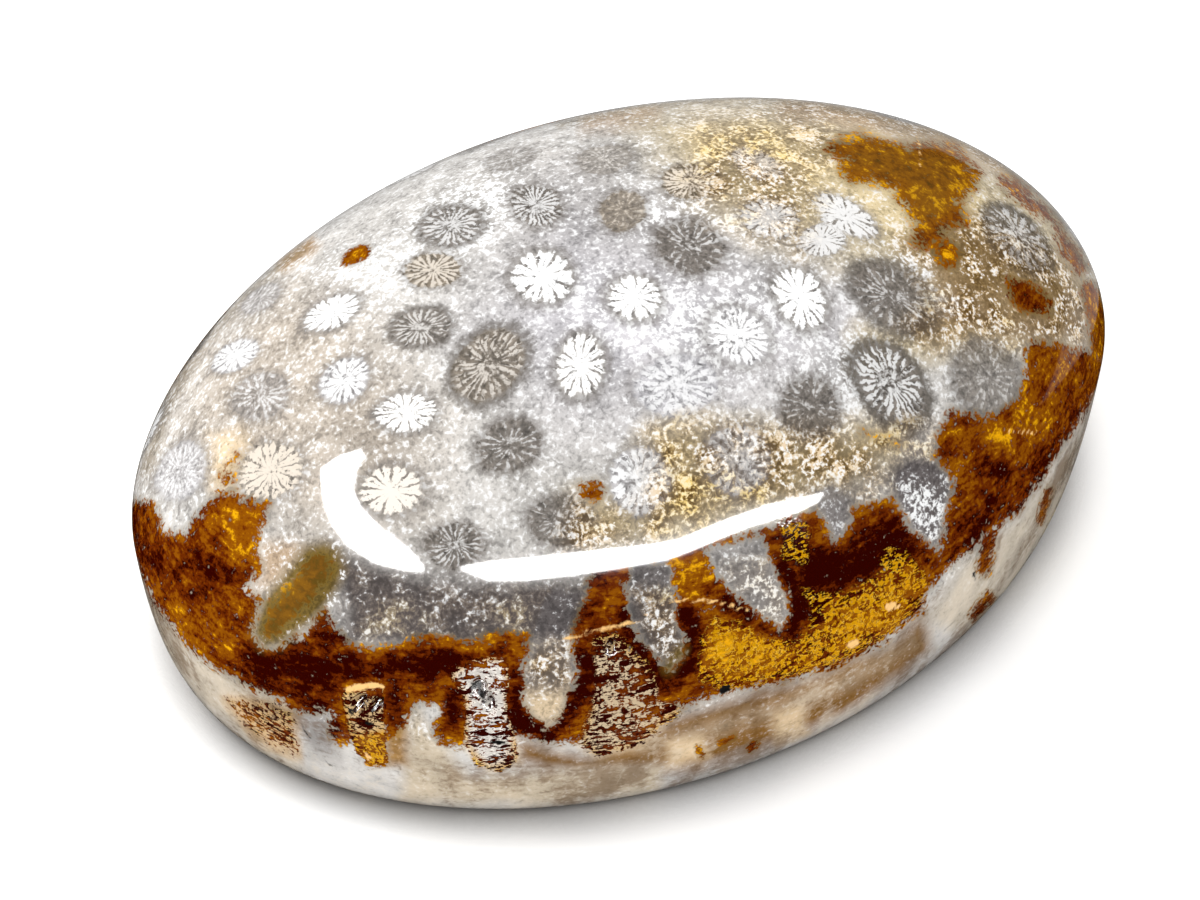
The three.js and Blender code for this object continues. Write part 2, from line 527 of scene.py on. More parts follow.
# Marks read from the photograph, in its pixels, painted in this order: the field that each one paints, how
# soft and how rough its border is, how much it paints, and its points. A stroke's third number is its half
# width. Some marks wipe the fields that they lie over.
overStain = ("stain", "deep", "gold", "comb", "speck")
marks = {
    "leftBlush": area("blush", 45, 8, 0.7, [
        (150, 470), (190, 340), (290, 270), (380, 330), (430, 420), (420, 520), (300, 540), (200, 450)]),
    "centreCool": area("lavender", 60, 8, 0.55, [
        (560, 200), (720, 250), (860, 300), (860, 360), (700, 420), (560, 420), (470, 330)]),
    "lowGrey": area("slate", 14, 8, 1, [
        (330, 545), (400, 568), (450, 580), (590, 578), (590, 645), (430, 650), (345, 650)]),
    "topGrey": area("slate", 40, 8, 0.26, [
        (450, 190), (520, 150), (620, 140), (720, 170), (720, 250), (640, 270), (520, 250)]),
    "topButter": area("butter", 35, 8, 0.9, [
        (640, 120), (760, 100), (870, 125), (960, 150), (1060, 210), (1100, 300), (1060, 340), (980, 330),
        (900, 270), (800, 250), (700, 200)]),
    "rightButter": area("butter", 22, 8, 0.9, [
        (860, 330), (960, 310), (1030, 330), (1020, 350), (960, 350), (860, 365)]),
    "lowButter": area("butter", 22, 8, 0.9, [
        (650, 430), (690, 420), (790, 430), (900, 425), (890, 460), (800, 500), (700, 525), (600, 545),
        (570, 500), (620, 500)]),
    "rightSpeck": area("speck", 18, 8, 0.9, [
        (900, 240), (960, 210), (1050, 250), (1098, 300), (1095, 345), (1030, 345), (990, 335), (930, 345),
        (900, 330), (940, 300)]),
    "lowSpeck": area("speck", 18, 8, 0.95, [
        (650, 430), (690, 425), (790, 430), (930, 425), (945, 450), (890, 470), (880, 505), (840, 500),
        (800, 500), (700, 530), (600, 548), (560, 560), (575, 500), (640, 520)]),
    "fringeSpeck": area("speck", 14, 8, 0.2, [
        (340, 560), (380, 575), (460, 590), (590, 585), (580, 640), (420, 640), (350, 640)]),
    "topSpeck": area("speck", 20, 8, 0.75, [
        (690, 120), (800, 105), (870, 135), (820, 180), (800, 250), (700, 210)]),
    "frostA": area("frost", 14, 9, 0.9, [
        (640, 200), (680, 196), (745, 215), (740, 235), (700, 222), (650, 240), (625, 235)]),
    "frostB": area("frost", 22, 9, 0.75, [
        (560, 300), (600, 280), (720, 280), (790, 270), (830, 350), (700, 380), (600, 340)]),
    "frostC": area("frost", 14, 9, 0.7, [(840, 335), (880, 345), (850, 420), (780, 375), (800, 350)]),
    "frostD": area("frost", 16, 9, 0.85, [
        (300, 270), (400, 240), (440, 180), (520, 170), (500, 240), (380, 300)]),
    "coolPatch": area("lavender", 8, 6, 1, [
        (815, 162), (835, 165), (850, 180), (880, 186), (870, 192), (835, 190)]),
    # Iron stains
    "topRightStain": area("stain", 12, 6, 1, [
        (828, 149), (839, 138), (858, 134), (911, 146), (951, 143), (979, 174), (973, 187), (958, 203),
        (967, 215), (964, 224), (945, 228), (939, 240), (920, 249), (914, 240), (915, 224), (895, 190),
        (876, 184), (851, 181), (840, 171), (845, 160)]),
    "topRightEdge": area("stain", 8, 5, 0.8, [
        (1001, 174), (1020, 178), (1054, 215), (1090, 265), (1079, 278), (1061, 256), (1051, 224),
        (1017, 203), (998, 184)]),
    "yellowSpot": area("gold", 8, 6, 1, [(932, 243), (948, 240), (962, 252), (955, 268), (938, 262)]),
    "topRightGold": area("gold", 16, 8, 0.42, [
        (835, 145), (860, 138), (950, 148), (972, 178), (950, 215), (925, 235), (900, 190), (850, 175)]),
    "topRightOlive": area("olive", 14, 8, 0.7, [
        (835, 145), (860, 138), (950, 148), (972, 178), (950, 215), (925, 235), (900, 190), (850, 175)]),
    "rightBlob": area("stain", 8, 5, 1, [
        (1006, 278), (1030, 283), (1050, 300), (1048, 315), (1025, 310), (1012, 300)]),
    "rightBlobDeep": stroke("deep", 10, 5, 0.7, [(1015, 292, 6), (1038, 304, 7)]),
    "rightRim": stroke("stain", 7, 4, 1, [(1090, 290, 8), (1100, 320, 10), (1104, 350, 12)]),
    "rightFlank": area("stain", 8, 5, 1, [
        (1032, 342), (1053, 342), (1068, 350), (1097, 350), (1112, 365), (1104, 390), (1092, 402),
        (1062, 446), (1033, 488), (1016, 514), (990, 530), (965, 554), (936, 579), (927, 596), (925, 612),
        (880, 600), (880, 520), (894, 503), (930, 470), (940, 430), (950, 410), (967, 413), (983, 417),
        (998, 413), (1016, 401), (1025, 382), (1024, 360)]),
    "rightFlankGold": area("gold", 12, 8, 0.45, [
        (950, 412), (1000, 418), (1030, 400), (1050, 430), (1000, 450), (950, 440)]),
    "rightFlankDeep": stroke("deep", 16, 8, 0.6, [
        (1075, 420, 12), (1040, 460, 14), (1000, 500, 14), (950, 555, 12)]),
    "leftFlank": area("stain", 8, 5, 1, [
        (124, 500), (152, 503), (166, 530), (180, 535), (191, 526), (200, 512), (219, 496), (233, 491),
        (239, 498), (265, 503), (267, 519), (258, 533), (256, 549), (260, 562), (256, 576), (246, 590),
        (300, 640), (324, 608), (340, 636), (352, 645), (352, 700), (340, 745), (331, 735), (331, 711),
        (295, 711), (281, 702), (249, 686), (212, 665), (180, 638), (157, 606), (143, 578), (124, 544)]),
    "leftDim": area("deep", 24, 8, 0.3, [
        (124, 500), (170, 535), (210, 545), (250, 570), (250, 600), (300, 655), (250, 690), (180, 640),
        (130, 565)]),
    "leftGold": area("gold", 10, 7, 0.9, [
        (215, 500), (240, 497), (265, 505), (262, 525), (240, 530), (215, 530), (200, 525)]),
    "leftGoldLow": area("gold", 14, 8, 0.45, [(200, 540), (245, 540), (240, 570), (205, 570)]),
    "leftDeep": stroke("deep", 12, 8, 0.7, [(150, 560, 5), (190, 565, 8), (240, 580, 6), (243, 620, 8)]),
    "leftDeepLow": stroke("deep", 14, 8, 0.8, [(250, 650, 8), (290, 670, 12), (330, 640, 12)]),
    "creamGold": area("cream", 12, 8, 0.9, [
        (212, 436), (240, 432), (254, 450), (240, 490), (215, 495), (208, 465)]),
    "creamGoldCore": stroke("gold", 9, 6, 0.52, [(236, 455, 6), (226, 480, 8)]),
    "frontBand": area("stain", 7, 5, 1, [
        (338, 640), (352, 645), (367, 648), (386, 647), (400, 644), (414, 637), (445, 637), (471, 640),
        (497, 633), (528, 635), (560, 640), (574, 620), (586, 582), (600, 560), (672, 548), (690, 540),
        (768, 530), (790, 515), (830, 505), (864, 503), (894, 500), (930, 530), (936, 579), (927, 596),
        (925, 612), (912, 619), (890, 635), (868, 648), (838, 666), (809, 673), (784, 681), (749, 687),
        (722, 692), (700, 700), (681, 709), (660, 716), (600, 740), (560, 741), (530, 739), (505, 735),
        (463, 742), (441, 745), (433, 733), (441, 706), (420, 702), (409, 712), (405, 728), (386, 740),
        (383, 728), (345, 745), (331, 735)]),
    "frontDeep": stroke("deep", 9, 6, 1, [
        (300, 690, 8), (330, 668, 14), (400, 668, 14), (450, 662, 10), (505, 655, 8), (520, 680, 8)]),
    "frontDeepLow": stroke("deep", 8, 6, 1, [(320, 705, 8), (335, 728, 6)]),
    "columnGapA": stroke("deep", 6, 4, 1, [(393, 690, 9), (396, 715, 9)]),
    "columnGapB": stroke("deep", 6, 4, 1, [(452, 695, 9), (452, 722, 8)]),
    "fingerOneRim": stroke("deep", 6, 4, 1, [
        (514, 690, 7), (520, 722, 9), (546, 732, 8), (566, 718, 9), (578, 692, 10), (586, 672, 9),
        (580, 650, 6)]),
    "fingerTwoRim": stroke("deep", 6, 4, 1, [
        (622, 612, 5), (630, 640, 8), (648, 664, 9), (668, 684, 10), (690, 672, 10), (695, 640, 10),
        (686, 612, 8)]),
    "fingerThreeRim": stroke("deep", 6, 4, 1, [
        (712, 590, 8), (740, 612, 8), (768, 632, 8), (790, 632, 8), (799, 612, 8), (796, 590, 8),
        (780, 562, 6)]),
    "rightDeep": area("deep", 9, 7, 1, [
        (790, 545), (830, 550), (860, 545), (880, 510), (900, 520), (925, 550), (936, 566), (905, 560),
        (880, 570), (840, 588), (800, 590)]),
    "betweenGold": area("gold", 9, 6, 0.6, [(590, 575), (625, 570), (622, 615), (590, 625)]),
    "betweenGoldB": area("gold", 9, 6, 0.5, [(675, 558), (700, 556), (735, 600), (685, 598)]),
    # Open skeleton: gold walls and dark gaps
    "goldComb": area("comb", 9, 5, 1, [
        (700, 640), (712, 618), (740, 620), (762, 640), (800, 640), (812, 608), (800, 590), (850, 592),
        (880, 572), (885, 545), (905, 552), (930, 580), (924, 605), (890, 634), (838, 664), (784, 679),
        (722, 690), (700, 680)]),
    "goldCombBright": area("gold", 16, 6, 1, [
        (700, 640), (740, 622), (800, 640), (840, 600), (885, 570), (905, 560), (925, 590), (890, 632),
        (838, 660), (784, 676), (722, 688), (700, 670)]),
    "darkComb": area("comb", 7, 4, 1, [(780, 525), (805, 520), (812, 545), (808, 565), (782, 560)]),
    "peachBars": area("comb", 6, 4, 1, [
        (592, 640), (615, 632), (640, 655), (655, 675), (660, 700), (680, 708), (676, 718), (640, 745),
        (600, 757), (582, 745), (586, 715), (596, 690)]),
    "peachBarsTone": area("cream", 8, 4, 1, [
        (590, 645), (615, 638), (655, 680), (680, 706), (640, 745), (600, 757), (582, 745), (590, 700)]),
    "columnOne": area("comb", 3, 2, 1, [
        (342, 694), (350, 687), (362, 684), (383, 684), (383, 700), (386, 740), (388, 762), (372, 766),
        (356, 752), (346, 720)]),
    "columnOneTone": area("cream", 4, 2, 0.7, [(342, 694), (383, 684), (386, 730), (352, 735)]),
    "columnOneGold": area("gold", 6, 3, 1, [(356, 736), (384, 730), (388, 762), (370, 766)]),
    "columnOneDark": area("deep", 6, 3, 0.9, [(348, 698), (380, 692), (382, 726), (352, 730)]),
    "columnTwo": area("comb", 4, 4, 1, [
        (450, 674), (470, 660), (507, 658), (508, 680), (505, 700), (515, 735), (518, 762), (500, 771),
        (478, 768), (465, 745), (466, 700)], wipes=("deep",)),
    "columnTwoTone": area("cream", 5, 3, 1, [
        (450, 674), (470, 660), (507, 658), (508, 700), (518, 762), (490, 771), (465, 745), (466, 700)]),
    "columnTwoWhite": area("frost", 6, 4, 0.9, [
        (452, 674), (470, 662), (507, 660), (506, 700), (514, 740), (500, 764), (480, 764), (468, 740),
        (468, 700)]),
    # Corallites cut lengthwise, grey against the stain
    "rod": area("olive", 7, 3, 0.95, [
        (249, 634), (262, 649), (281, 647), (301, 631), (327, 608), (340, 585), (345, 567), (340, 549),
        (324, 541), (308, 544), (292, 560), (262, 600)], wipes=overStain),
    "rodPale": stroke("slate", 8, 3, 0.4, [(336, 556, 6), (332, 585, 8), (312, 610, 8), (290, 632, 6)]),
    "rodGold": stroke("gold", 6, 5, 0.4, [(302, 562, 3), (280, 590, 5), (262, 614, 4)]),
    "rodCore": stroke("stain", 11, 6, 1, [(320, 568, 12), (298, 594, 12), (272, 626, 9)]),
    "rodDeep": stroke("deep", 11, 6, 0.3, [(322, 568, 10), (302, 594, 10), (278, 626, 8)]),
    "rodEdge": stroke("frost", 2.5, 1, 0.8, [(344, 560, 2), (342, 584, 2), (328, 609, 2), (302, 632, 1.5)]),
    "rodShoulder": area("tan", 9, 6, 0.6, [
        (262, 545), (290, 540), (303, 550), (275, 585), (255, 596), (258, 570)]),
    "fingerOne": area("slate", 7, 5, 0.6, [
        (528, 630), (527, 650), (522, 668), (521, 700), (531, 719), (546, 725), (558, 719), (564, 706),
        (571, 690), (579, 672), (573, 653), (573, 630), (580, 612), (588, 590),
        (550, 580)], wipes=overStain),
    "fingerOneTip": area("cream", 8, 5, 0.9, [(525, 690), (565, 690), (562, 715), (546, 725), (528, 715)]),
    "fingerOneSpeck": area("speck", 8, 5, 0.8, [(528, 640), (572, 640), (572, 690), (525, 690)]),
    "fingerTwo": area("slate", 6, 3, 0.95, [
        (630, 562), (626, 590), (626, 606), (632, 626), (648, 650), (658, 661), (671, 673), (682, 659),
        (685, 640), (676, 618), (676, 593), (671, 560)], wipes=overStain),
    "fingerTwoTip": area("frost", 9, 6, 0.5, [(640, 618), (675, 612), (682, 640), (668, 656), (650, 645)]),
    "fingerTwoSpeck": area("speck", 9, 5, 0.5, [
        (632, 590), (674, 590), (684, 640), (668, 664), (648, 645)]),
    "fingerTwoEnd": stroke("olive", 6, 4, 1, [(680, 650, 5), (668, 668, 5)]),
    "fingerThree": area("slate", 6, 4, 0.62, [
        (701, 548), (716, 576), (739, 599), (761, 616), (777, 628), (784, 629), (790, 617), (787, 593),
        (779, 578), (770, 558), (764, 535)], wipes=overStain),
    "fingerThreeTip": area("frost", 9, 6, 0.8, [
        (735, 575), (772, 570), (785, 600), (782, 620), (755, 605)]),
    "fingerThreeSpeck": area("speck", 9, 5, 0.45, [
        (722, 565), (768, 560), (786, 600), (780, 624), (745, 600)]),
    "fingerFour": area("slate", 7, 3, 0.85, [
        (806, 490), (815, 512), (824, 526), (835, 544), (845, 535), (852, 518), (855, 495),
        (835, 478)], wipes=overStain),
    "slateHead": area("slate", 8, 3, 1, [
        (887, 480), (893, 464), (912, 454), (935, 456), (952, 472), (954, 490), (948, 512), (944, 530),
        (938, 553), (926, 541), (912, 531), (902, 516), (893, 500)], wipes=overStain),
    "slateSpeck": area("frost", 8, 5, 0.85, [
        (903, 482), (943, 482), (950, 505), (946, 530), (937, 552), (915, 533), (903, 514)]),
    # Fine lines, pits painted dark as shade in their hollows, cracks and sparks
    "veinA": stroke("vein", 4, 1.5, 1, [(564, 639, 1), (590, 633, 1.8), (623, 625, 1.8), (646, 616, 1)]),
    "veinB": stroke("vein", 4, 1.5, 1, [
        (653, 606, 1), (681, 600, 1.5), (698, 600, 1.5), (722, 603, 1.5), (750, 611, 1)]),
    "veinC": stroke("vein", 4, 1.5, 1, [(1006, 431, 1.5), (1035, 433, 1.5)]),
    "veinD": stroke("vein", 2.5, 1.5, 0.75, [(916, 136, 1), (920, 146, 1.5), (920, 168, 1)]),
    "columnCap": stroke("vein", 2.5, 1.5, 1, [
        (343, 691, 1.5), (358, 687, 3), (372, 685, 3), (383, 685, 2.5)]),
    "holeA": stroke("hole", 2.5, 1.5, 1, [(472, 683, 2), (480, 686, 5), (485, 697, 3.5), (488, 702, 3)]),
    "holeB": stroke("hole", 2.5, 1.5, 1, [(358, 706, 4), (361, 710, 3)]),
    "holeC": stroke("hole", 2.5, 1.5, 1, [(349, 712, 2.5), (352, 713, 2.5)]),
    "holeD": stroke("hole", 2.5, 1.5, 1, [(376, 706, 2.5), (374, 709, 2)]),
    "holeE": stroke("hole", 2, 1.5, 1, [(486, 744, 1), (500, 743, 2.2), (510, 744, 1)]),
    "holeF": stroke("hole", 2.5, 1.5, 1, [(608, 646, 3.5), (613, 649, 3)]),
    "holeG": stroke("hole", 2.5, 1.5, 1, [(722, 691, 3), (729, 688, 3)]),
    "holeH": stroke("hole", 2, 1.5, 1, [(365, 724, 1.5), (374, 722, 2)]),
    "sparkA": stroke("vein", 3, 2, 1, [(890, 607, 4), (897, 606, 3)]),
    "sparkB": stroke("vein", 3, 2, 1, [(850, 645, 3), (856, 643, 3)]),
    "sparkC": stroke("vein", 3, 2, 1, [(366, 753, 2), (369, 757, 3)]),
    "amberEyeRing": stroke("frost", 6, 3, 1, [(322, 268, 5), (336, 280, 5), (356, 280, 4), (376, 268, 4)]),
    "amberEye": stroke("stain", 3, 1, 1, [(347, 260, 6), (355, 256, 8), (363, 252, 7)]),
    "amberEyeGold": stroke("gold", 4, 1, 0.75, [(350, 259, 6), (361, 254, 6)]),
    "oliveSpotGold": stroke("gold", 8, 6, 0.6, [(584, 488, 5), (600, 497, 5)]),
    "oliveSpot": area("stain", 6, 6, 0.8, [(578, 488), (595, 482), (606, 492), (600, 505), (585, 500)]),
    "leftRim": stroke("olive", 6, 2, 0.5, [
        (146, 470, 4), (165, 410, 5), (205, 340, 5), (255, 285, 5), (300, 250, 6)]),
    "tanEdge": stroke("tan", 6, 4, 0.9, [(285, 262, 8), (310, 244, 7)]),
    "topTan": stroke("tan", 12, 6, 0.7, [(590, 122, 8), (650, 112, 6)]),
    "topRightTan": stroke("tan", 12, 6, 0.8, [
        (790, 105, 8), (870, 118, 10), (950, 135, 10), (1010, 165, 10)]),
    "rightTan": area("tan", 16, 8, 0.55, [
        (905, 245), (960, 215), (1050, 255), (1095, 305), (1090, 342), (1030, 342), (990, 332), (940, 340),
        (915, 325), (945, 300)]),
    "noduleA": stroke("frost", 7, 5, 1, [(936, 295, 9), (954, 306, 8)]),
    "noduleB": stroke("frost", 7, 5, 1, [(906, 261, 7), (924, 274, 8)]),
    "farRim": stroke("olive", 4, 2, 0.6, [
        (560, 125, 3), (640, 106, 3), (760, 97, 3), (860, 113, 3), (960, 140, 3), (1040, 195, 3),
        (1090, 270, 3)]),
    "flankSpot": stroke("deep", 7, 4, 1, [(996, 470, 9), (1006, 474, 9)]),
    "greenFibres": stroke("gold", 9, 6, 0.45, [(862, 432, 5), (900, 444, 6)]),
    # Lower side
    "sidePink": area("pale", 10, 4, 0.8, [
        (136, 580), (165, 617), (200, 657), (285, 703), (300, 778), (250, 748), (200, 703), (150, 650)]),
    "sideTan": area("tan", 6, 5, 1, [
        (222, 697), (262, 702), (292, 712), (302, 757), (280, 752), (250, 735)]),
    "sideTanComb": area("comb", 12, 5, 0.85, [
        (226, 700), (262, 704), (290, 714), (300, 752), (280, 748), (252, 732)]),
    "sideTanTone": area("cream", 8, 5, 0.6, [
        (226, 700), (262, 704), (290, 714), (300, 752), (280, 748), (252, 732)]),
    "sideTanGold": area("gold", 8, 5, 0.3, [
        (226, 700), (262, 704), (290, 714), (300, 752), (280, 748), (252, 732)]),
    "sideCrackGrey": area("slate", 8, 5, 0.5, [(294, 711), (331, 712), (340, 760), (312, 755)]),
    "sideBrown": area("tan", 6, 4, 1, [(386, 728), (406, 724), (407, 764), (388, 764)]),
    "sideOrange": area("stain", 6, 4, 0.8, [(433, 724), (464, 724), (464, 748), (446, 748)]),
    "sideCream": area("pale", 8, 5, 1, [
        (417, 708), (408, 730), (404, 765), (400, 802), (560, 806), (660, 792), (660, 765), (560, 770),
        (470, 778), (452, 757), (431, 735)]),
    "sideGrey": area("dusk", 9, 6, 1, [
        (517, 742), (590, 758), (690, 712), (800, 682), (900, 640), (925, 615), (930, 650), (860, 705),
        (800, 735), (700, 767), (600, 775), (520, 764)]),
    "sideBand": stroke("pale", 8, 3, 0.45, [
        (640, 749, 5), (709, 728, 7), (776, 709, 7), (850, 681, 6), (912, 643, 5)]),
    "sidePeachA": area("cream", 7, 5, 0.8, [(668, 742), (700, 736), (706, 756), (668, 766)]),
    "sidePeachB": area("cream", 7, 5, 0.8, [(775, 716), (802, 705), (806, 732), (776, 744)]),
    "sideSpotA": stroke("stain", 3, 3, 1, [(698, 748, 3), (701, 755, 3)]),
    "sideSpotB": stroke("stain", 3, 3, 1, [(720, 741, 3), (732, 737, 3)]),
    "sideSpotC": stroke("stain", 3, 3, 1, [(750, 749, 3), (756, 744, 3)]),
    "sideRightPale": area("pale", 9, 4, 0.7, [
        (927, 618), (967, 557), (1018, 518), (1064, 450), (1100, 398), (1108, 420), (1064, 510),
        (1014, 592), (962, 636)]),
    "sideStreakA": stroke("stain", 4, 4, 0.75, [(1050, 488, 4), (1040, 520, 5)]),
    "sideStreakB": stroke("stain", 5, 5, 0.95, [(990, 534, 6), (984, 570, 7)]),
    "sideStreakC": stroke("stain", 5, 4, 0.8, [(988, 598, 7), (974, 616, 6)]),
    "sideDot": stroke("hole", 3, 2, 0.7, [(974, 573, 3), (975, 579, 2)]),
    "crackA": stroke("hole", 1.8, 1.5, 0.8, [(301, 722, 1), (304, 730, 1.4), (311, 738, 1)]),
    "crackB": stroke("hole", 1.8, 1.5, 0.8, [(313, 746, 1), (323, 752, 1)]),
    "crackC": stroke("hole", 1.8, 1.5, 0.7, [(942, 634, 0.8), (953, 622, 1), (961, 613, 0.8)]),
    "crackD": stroke("hole", 2, 1.5, 0.7, [(326, 761, 1.5), (332, 766, 1.5)]),
    "crackE": stroke("hole", 1.8, 1, 0.6, [(161, 640, 0.8), (170, 656, 1.2), (181, 671, 0.8)]),
}

fieldNames = ["stain", "deep", "gold", "comb", "cream", "slate", "speck", "frost", "lavender", "blush",
              "butter", "olive", "hole", "vein", "pale", "tan", "dusk"]


def paintMarks():
    fields = {name: np.zeros(len(points)) for name in fieldNames}
    for mark in marks.values():
        shape = np.array(mark["shape"], float)
        x = across + mark["rough"] * warpAcross
        y = down + mark["rough"] * warpDown
        lowX, lowY = shape[:, :2].min(axis=0) - mark["reach"]
        highX, highY = shape[:, :2].max(axis=0) + mark["reach"]
        near = np.nonzero((x > lowX) & (x < highX) & (y > lowY) & (y < highY) & (seen > 0))[0]
        depth = mark["depthOf"](shape, x[near], y[near])
        cover = np.clip(0.5 + depth / (2 * mark["soft"]), 0, 1) * seen[near]
        for name in mark["wipes"]:
            fields[name][near] = np.minimum(fields[name][near], 1 - cover)
        field = fields[mark["field"]]
        field[near] = np.maximum(field[near], cover * mark["amount"])
    return fields


def paintBehind(fields):  # the side that the photograph doesn't show, in the same style
    hidden = 1 - seen
    large, middling = wander(9, 3.1), wander(4, 8.2)
    nearRidge = 1 - np.clip(np.abs(points[:, 2] - stone["girdleHeight"] - 2) / 7, 0, 1)
    onDome = np.arange(len(points)) < parts["dome"]
    stained = np.clip(0.5 + 1.6 * (large + 0.5 * nearRidge - 0.33) * onDome - (~onDome), 0, 1)
    fields["stain"] = np.maximum(fields["stain"], hidden * stained)
    fields["deep"] = np.maximum(fields["deep"], hidden * np.clip(0.4 + 1.5 * middling, 0, 1) * stained)
    fields["gold"] = np.maximum(fields["gold"], hidden * np.clip(-1.4 * middling, 0, 1) * stained)
    fields["comb"] = np.maximum(fields["comb"], hidden * np.clip(1.5 * wander(5, 21.0), 0, 1) * stained)
    fields["speck"] = np.maximum(fields["speck"], hidden * np.clip(0.3 + wander(6, 14.0), 0, 1))
    fields["blush"] = np.maximum(fields["blush"], hidden * 0.4)
    palePatches = np.clip(0.4 + 1.2 * wander(5, 40.0), 0, 1) * ~onDome
    fields["pale"] = np.maximum(fields["pale"], hidden * palePatches)


fields = paintMarks()
paintBehind(fields)
order = np.arange(len(points))
fields["side"] = ((order >= parts["dome"]) & (order < parts["side"])).astype(float)
fields["drift"] = 2 * wander(3.5, 61.0)
fields["cloud"] = 2 * wander(1.2, 52.0)
upright = points / np.array([0.7, 0.7, 6.0])
fields["streak"] = 2 * np.array([noise.noise(p) for p in upright.tolist()])
best, second, local, look, kind = caliceFields()
fields["away"] = best
fields["u"] = local[:, 0]
fields["v"] = local[:, 1]
fields["white"], fields["ring"], fields["warm"], fields["septa"] = look.T
fields["count"] = 18 + 2 * (kind % 4)
fields["number"] = kind * 1.7
fields["own"] = smooth(0.0, 0.35, second - best)
print("marks painted:", len(marks))

packs = [("u", "v", "away"), ("white", "ring", "warm"), ("septa", "count", "number"),
         ("own", "side", "hole"), ("stain", "deep", "gold"), ("comb", "cream", "slate"),
         ("speck", "frost", "lavender"), ("blush", "butter", "olive"), ("vein", "pale", "tan"),
         ("dusk", "streak", "cloud"), ("drift", "drift", "drift")]


def storeFields():
    for names in packs:
        layer = mesh.attributes.new("_".join(names), "FLOAT_VECTOR", "POINT")
        values = np.stack([fields[name] for name in names], axis=1).astype(np.float32)
        layer.data.foreach_set("vector", values.ravel())


storeFields()

# Shader graph: a wire is one output socket, and arithmetic on wires adds Math nodes


class Wire:
    def __init__(self, graph, socket):
        self.graph = graph
        self.socket = socket

    def maths(self, operation, first, second=0.0):
        return self.graph.node("ShaderNodeMath", {"operation": operation}, {0: first, 1: second})

    def __add__(self, other):
        return self.maths("ADD", self, other)

    def __radd__(self, other):
        return self.maths("ADD", other, self)

    def __sub__(self, other):
        return self.maths("SUBTRACT", self, other)

    def __rsub__(self, other):
        return self.maths("SUBTRACT", other, self)

    def __mul__(self, other):
        return self.maths("MULTIPLY", self, other)

    def __rmul__(self, other):
        return self.maths("MULTIPLY", other, self)

    def cosine(self):
        return self.maths("COSINE", self)

    def most(self, other):
        return self.maths("MAXIMUM", self, other)

    def size(self):  # without its sign
        return self.maths("ABSOLUTE", self)

    def turnFrom(self, across):  # angle of the point that this height and a distance across make
        return self.maths("ARCTAN2", self, across)

    def ease(self, low, high):  # 0 below low, 1 above high, smooth between
        return self.graph.node("ShaderNodeMapRange", {"interpolation_type": "SMOOTHSTEP"},
                               {0: self, 1: low, 2: high})

    def output(self, name):
        return Wire(self.graph, self.socket.node.outputs[name])


class Graph:
    def __init__(self, tree):
        self.tree = tree

    def node(self, kind, settings=None, inputs=None, out=0):
        made = self.tree.nodes.new(kind)
        for name, value in (settings or {}).items():
            setattr(made, name, value)
        for key, value in (inputs or {}).items():
            if isinstance(value, Wire):
                self.tree.links.new(value.socket, made.inputs[key])
            else:
                made.inputs[key].default_value = value
        return Wire(self, made.outputs[out]) if made.outputs else None

    def blend(self, first, second, factor):  # two colours by a factor
        return self.node("ShaderNodeMix", {"data_type": "RGBA"}, {0: factor, 6: first, 7: second}, out=2)

    def shade(self, colour, factor):  # a colour made darker or lighter
        return self.node("ShaderNodeVectorMath", {"operation": "SCALE"}, {0: colour, 3: factor})

    def noise(self, place, scale, detail, rough, twist):
        return self.node("ShaderNodeTexNoise", None, {
            "Vector": place, "Scale": scale, "Detail": detail, "Roughness": rough, "Distortion": twist})


def linear(red, green, blue):  # a colour as read on screen, to the renderer's own
    shares = [c / 255 for c in (red, green, blue)]
    return tuple(c / 12.92 if c <= 0.04045 else ((c + 0.055) / 1.055) ** 2.4 for c in shares) + (1.0,)


stoneLook = {
    "chalcedony": (204, 200, 195),
    "white": (252, 252, 252),
    "lavender": (190, 188, 198),
    "blush": (186, 171, 153),
    "butter": (214, 194, 150),
    "slate": (102, 96, 95),
    "olive": (120, 96, 34),
    "tan": (178, 138, 84),
    "cream": (234, 209, 172),
    "pale": (200, 185, 162),
    "dusk": (134, 96, 48),
    "disc": (114, 107, 100),
    "warmDisc": (140, 120, 84),
    "coolDisc": (186, 184, 187),
    "ringShade": (128, 122, 117),
    "ringDeep": (100, 94, 87),
    "ringLight": (178, 174, 170),
    "sideShade": (106, 74, 38),
    "sideLight": (232, 218, 196),
    "amber": (138, 76, 5),
    "rust": (98, 36, 2),
    "deepRust": (46, 3, 0),
    "gold": (236, 170, 14),
    "paleGold": (255, 218, 84),
    "speckShade": (134, 104, 52),
    "speckDeep": (84, 60, 24),
    # near black for painted shade in the pits, also the colour of the cracks
    "vein": (250, 202, 132),
    "hole": (12, 7, 5),
    "roughness": 0.05,
    "bump": 0.03,
}


def hue(name):
    return linear(*stoneLook[name])


def readFields(graph):
    wires = {}
    for names in packs:
        vector = graph.node("ShaderNodeAttribute", {"attribute_name": "_".join(names)}, None, out="Vector")
        apart = graph.node("ShaderNodeSeparateXYZ", None, {0: vector})
        for name, axis in zip(names, "XYZ"):
            wires[name] = apart.output(axis)
    return wires


def readGrains(graph):  # three grains, each from about -1 to 1: crinkles, the finest flecks, and flat bars
    atObject = graph.node("ShaderNodeTexCoord", None, None, out="Object")
    place = graph.node("ShaderNodeVectorMath", {"operation": "SCALE"}, {0: atObject, 3: 1 / mm})
    flat = graph.node("ShaderNodeVectorMath", {"operation": "MULTIPLY"}, {0: place, 1: (0.9, 0.9, 2.8)})
    return {
        "crinkle": (graph.noise(place, 2.1, 3, 0.62, 0.9) - 0.5) * 8,
        "fleck": (graph.noise(place, 4.6, 2, 0.6, 0.0) - 0.5) * 7,
        "bar": (graph.noise(flat, 1.15, 4, 0.64, 0.0) - 0.5) * 8,
    }


